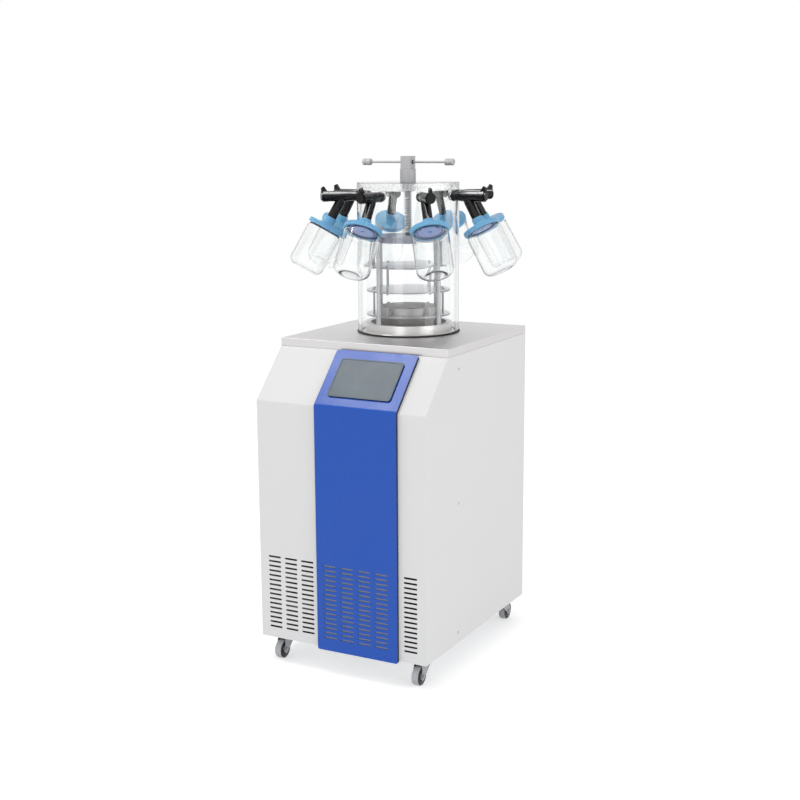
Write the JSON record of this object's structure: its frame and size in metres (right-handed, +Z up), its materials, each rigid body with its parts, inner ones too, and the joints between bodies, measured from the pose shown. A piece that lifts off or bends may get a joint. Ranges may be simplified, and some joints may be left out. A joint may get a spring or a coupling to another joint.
{
  "type": "freeze dryer",
  "caption": "Floor-standing freeze dryer on casters: folded cabinet with sloped touch screen, clear chamber with stoppering shelves, and a ring of tilted flasks on valves.",
  "frame": {"origin": "floor level under the middle of the bounding box", "axes": "+Z up, the front with the screen faces -Y, +X to the right seen from the front"},
  "size_m": [0.6538, 0.7239, 1.35],
  "materials": {
    "white_paint": "satin powder coat",
    "blue_paint": "satin powder coat",
    "zinc_steel": "dull zinc plate",
    "screen_plastic": "matte",
    "screen_glass": "gloss",
    "worktop_steel": "fine brushed",
    "stainless": "satin",
    "machined_steel": "machined, bright",
    "press_grey": "satin",
    "compressor_black": "satin",
    "fin_aluminium": "fins",
    "black_plastic": "moulded",
    "motor_grey": "satin",
    "white_plastic": "moulded",
    "copper": "drawn copper tube",
    "foam": "rigid foam",
    "brass": "turned",
    "red_plastic": "moulded",
    "black_rubber": "matte",
    "clear_acrylic": "polished",
    "clear_glass": "polished",
    "blue_rubber": "smooth",
    "grey_rubber": "matte"
  },
  "bodies": {
    "cabinet": {"base_frame": "zinc_steel", "left_side_panel": "white_paint", "right_side_panel": "white_paint", "front_panel": "white_paint", "blue_front_panel": "blue_paint", "screen_case": "screen_plastic", "screen_glass": "screen_glass", "worktop": "worktop_steel", "rear_panel": "white_paint", "panel_screws": "zinc_steel", "compressor": "compressor_black", "condenser": "fin_aluminium", "fan_shroud": "black_plastic", "fan_motor": "motor_grey", "refrigerant_pipes": "copper", "cold_trap": "stainless", "evaporator_coil": "copper", "insulation_jacket": "foam", "control_box": "motor_grey", "drain_pipe": "stainless", "drain_valve": "brass", "vacuum_port": "stainless", "power_inlet": "black_plastic", "trap_collar": "stainless", "chamber_seal": "black_rubber", "chamber_drum": "clear_acrylic", "chamber_lid": "clear_acrylic", "screw_housing": "machined_steel", "guide_columns": "stainless", "shelf_bottom": "stainless", "sample_tray": "stainless", "valve_bodies": "black_plastic", "flask_caps": "blue_rubber", "flasks": "clear_glass", "caster_plates": "zinc_steel"},
    "handle": {"handle_hub": "machined_steel"},
    "hand_bar": {"handle_bar": "machined_steel"},
    "press": {"press_screw": "machined_steel", "press_plate": "press_grey"},
    "upper_shelf": {"shelf_top": "stainless"},
    "centre_shelf": {"shelf_middle": "stainless"},
    "fan": {"fan_blade": "white_plastic"},
    "drain_tap": {"drain_lever": "red_plastic"},
    "power_rocker": {"power_switch": "red_plastic"},
    "knob_1": {"valve_knob_1": "black_plastic"},
    "knob_2": {"valve_knob_2": "black_plastic"},
    "knob_3": {"valve_knob_3": "black_plastic"},
    "knob_4": {"valve_knob_4": "black_plastic"},
    "knob_5": {"valve_knob_5": "black_plastic"},
    "knob_6": {"valve_knob_6": "black_plastic"},
    "knob_7": {"valve_knob_7": "black_plastic"},
    "knob_8": {"valve_knob_8": "black_plastic"},
    "fork_1": {"caster_fork_1": "zinc_steel"},
    "wheel_1": {"caster_wheel_1": "grey_rubber"},
    "fork_2": {"caster_fork_2": "zinc_steel"},
    "wheel_2": {"caster_wheel_2": "grey_rubber"},
    "fork_3": {"caster_fork_3": "zinc_steel"},
    "wheel_3": {"caster_wheel_3": "grey_rubber"},
    "fork_4": {"caster_fork_4": "zinc_steel"},
    "wheel_4": {"caster_wheel_4": "grey_rubber"}
  },
  "joints": [
    {"name": "handle_turn", "type": "hinge", "parent": "cabinet", "child": "handle", "pos_m": [0, 0.03497, 1.332], "axis": [0, 0, 1], "range_deg": [0, 2160]},
    {"name": "hand_bar_slide", "type": "slide", "parent": "handle", "child": "hand_bar", "axis": [1, 0, 0], "range_m": [-0.095, 0.095]},
    {"name": "press_travel", "type": "slide", "parent": "cabinet", "child": "press", "axis": [0, 0, -1], "range_m": [0, 0.03]},
    {"name": "upper_shelf_travel", "type": "slide", "parent": "cabinet", "child": "upper_shelf", "axis": [0, 0, -1], "range_m": [0, 0.02]},
    {"name": "centre_shelf_travel", "type": "slide", "parent": "cabinet", "child": "centre_shelf", "axis": [0, 0, -1], "range_m": [0, 0.01]},
    {"name": "valve_knob_1_turn", "type": "hinge", "parent": "cabinet", "child": "knob_1", "pos_m": [0.22959, 0.02133, 1.245], "axis": [0.9982, -0.0593, 0], "range_deg": [0, 180]},
    {"name": "valve_knob_2_turn", "type": "hinge", "parent": "cabinet", "child": "knob_2", "pos_m": [0.17199, 0.18767, 1.245], "axis": [0.7478, 0.6639, 0], "range_deg": [0, 180]},
    {"name": "valve_knob_3_turn", "type": "hinge", "parent": "cabinet", "child": "knob_3", "pos_m": [0.01364, 0.26456, 1.245], "axis": [0.0593, 0.9982, 0], "range_deg": [0, 180]},
    {"name": "valve_knob_4_turn", "type": "hinge", "parent": "cabinet", "child": "knob_4", "pos_m": [-0.1527, 0.20696, 1.245], "axis": [-0.6639, 0.7478, 0], "range_deg": [0, 180]},
    {"name": "valve_knob_5_turn", "type": "hinge", "parent": "cabinet", "child": "knob_5", "pos_m": [-0.22959, 0.04861, 1.245], "axis": [-0.9982, 0.0593, 0], "range_deg": [0, 180]},
    {"name": "valve_knob_6_turn", "type": "hinge", "parent": "cabinet", "child": "knob_6", "pos_m": [-0.17199, -0.11774, 1.245], "axis": [-0.7478, -0.6639, 0], "range_deg": [0, 180]},
    {"name": "valve_knob_7_turn", "type": "hinge", "parent": "cabinet", "child": "knob_7", "pos_m": [-0.01364, -0.19463, 1.245], "axis": [-0.0593, -0.9982, 0], "range_deg": [0, 180]},
    {"name": "valve_knob_8_turn", "type": "hinge", "parent": "cabinet", "child": "knob_8", "pos_m": [0.1527, -0.13703, 1.245], "axis": [0.6639, -0.7478, 0], "range_deg": [0, 180]},
    {"name": "caster_1_swivel", "type": "hinge", "parent": "cabinet", "child": "fork_1", "pos_m": [-0.21, -0.29603, 0.06], "axis": [0, 0, 1], "continuous": true},
    {"name": "caster_1_roll", "type": "hinge", "parent": "fork_1", "child": "wheel_1", "pos_m": [-0.21, -0.31803, 0.025], "axis": [1, 0, 0], "continuous": true},
    {"name": "caster_2_swivel", "type": "hinge", "parent": "cabinet", "child": "fork_2", "pos_m": [0.21, -0.29603, 0.06], "axis": [0, 0, 1], "continuous": true},
    {"name": "caster_2_roll", "type": "hinge", "parent": "fork_2", "child": "wheel_2", "pos_m": [0.21, -0.31803, 0.025], "axis": [1, 0, 0], "continuous": true},
    {"name": "caster_3_swivel", "type": "hinge", "parent": "cabinet", "child": "fork_3", "pos_m": [-0.21, 0.21797, 0.06], "axis": [0, 0, 1], "continuous": true},
    {"name": "caster_3_roll", "type": "hinge", "parent": "fork_3", "child": "wheel_3", "pos_m": [-0.21, 0.23997, 0.025], "axis": [1, 0, 0], "continuous": true},
    {"name": "caster_4_swivel", "type": "hinge", "parent": "cabinet", "child": "fork_4", "pos_m": [0.21, 0.21797, 0.06], "axis": [0, 0, 1], "continuous": true},
    {"name": "caster_4_roll", "type": "hinge", "parent": "fork_4", "child": "wheel_4", "pos_m": [0.21, 0.23997, 0.025], "axis": [1, 0, 0], "continuous": true},
    {"name": "fan_spin", "type": "hinge", "parent": "cabinet", "child": "fan", "pos_m": [-0.044, -0.23603, 0.189], "axis": [0, 1, 0], "continuous": true},
    {"name": "drain_lever_turn", "type": "hinge", "parent": "cabinet", "child": "drain_tap", "pos_m": [0, 0.29597, 0.554], "axis": [0, 0, 1], "range_deg": [0, 90]},
    {"name": "power_rocker_tilt", "type": "hinge", "parent": "cabinet", "child": "power_rocker", "pos_m": [-0.15, 0.27297, 0.341], "axis": [1, 0, 0], "range_deg": [-16, 0]}
  ],
  "couplings": [
    {"joint": "press_travel", "follows": "handle_turn", "m_per_rad": 0.00079577},
    {"joint": "upper_shelf_travel", "follows": "handle_turn", "m_per_rad": 0.00053051},
    {"joint": "centre_shelf_travel", "follows": "handle_turn", "m_per_rad": 0.00026525}
  ]
}
